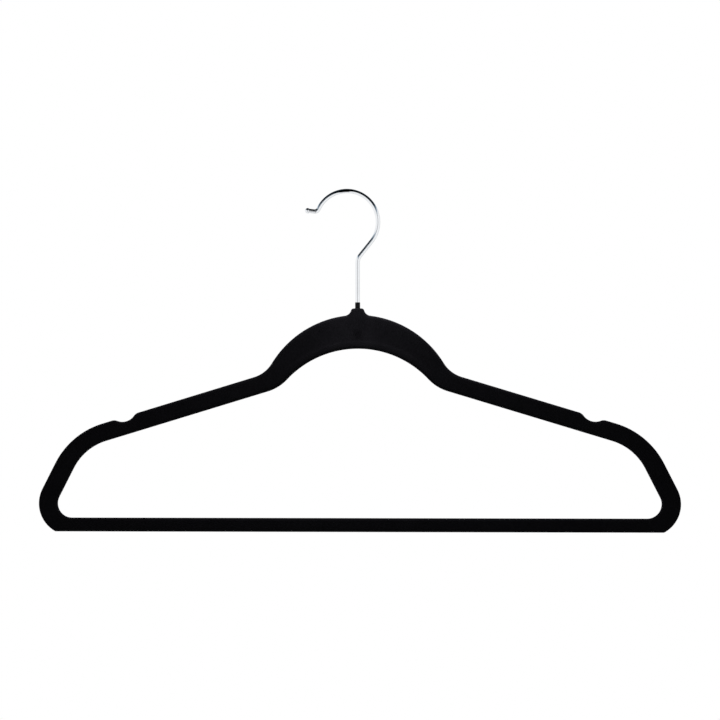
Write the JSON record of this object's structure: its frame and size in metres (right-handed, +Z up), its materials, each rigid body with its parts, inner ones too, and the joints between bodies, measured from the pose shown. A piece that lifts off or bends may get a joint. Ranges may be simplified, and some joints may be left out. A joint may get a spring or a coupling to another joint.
{
  "type": "clothes hanger",
  "caption": "Slim flocked clothes hanger with shoulder notches, an integral trouser bar and a swivelling wire hook.",
  "frame": {"origin": "rail seat: underside of the wire at the crown of the hook", "axes": "+X along the hanger's length, with the hook's mouth towards -X at rest; +Y along the rail; +Z up"},
  "size_m": [0.445, 0.008, 0.2383],
  "materials": {
    "moulding": "moulded ABS",
    "flock": "short-pile nylon flock",
    "bush": "natural acetal",
    "hook": "bright plated wire",
    "sleeve": "satin black",
    "washer": "pressed steel"
  },
  "bodies": {
    "hook": {"hook_wire": "hook", "neck_sleeve": "sleeve", "retaining_washer": "washer", "tip_ball": "hook"},
    "hanger_frame": {"frame_core": "moulding", "flock_coating": "flock", "swivel_bush": "bush"}
  },
  "joints": [
    {"name": "hook_swivel", "type": "hinge", "parent": "hook", "child": "hanger_frame", "pos_m": [0.0076, 0, -0.09], "axis": [0, 0, 1], "continuous": true}
  ]
}
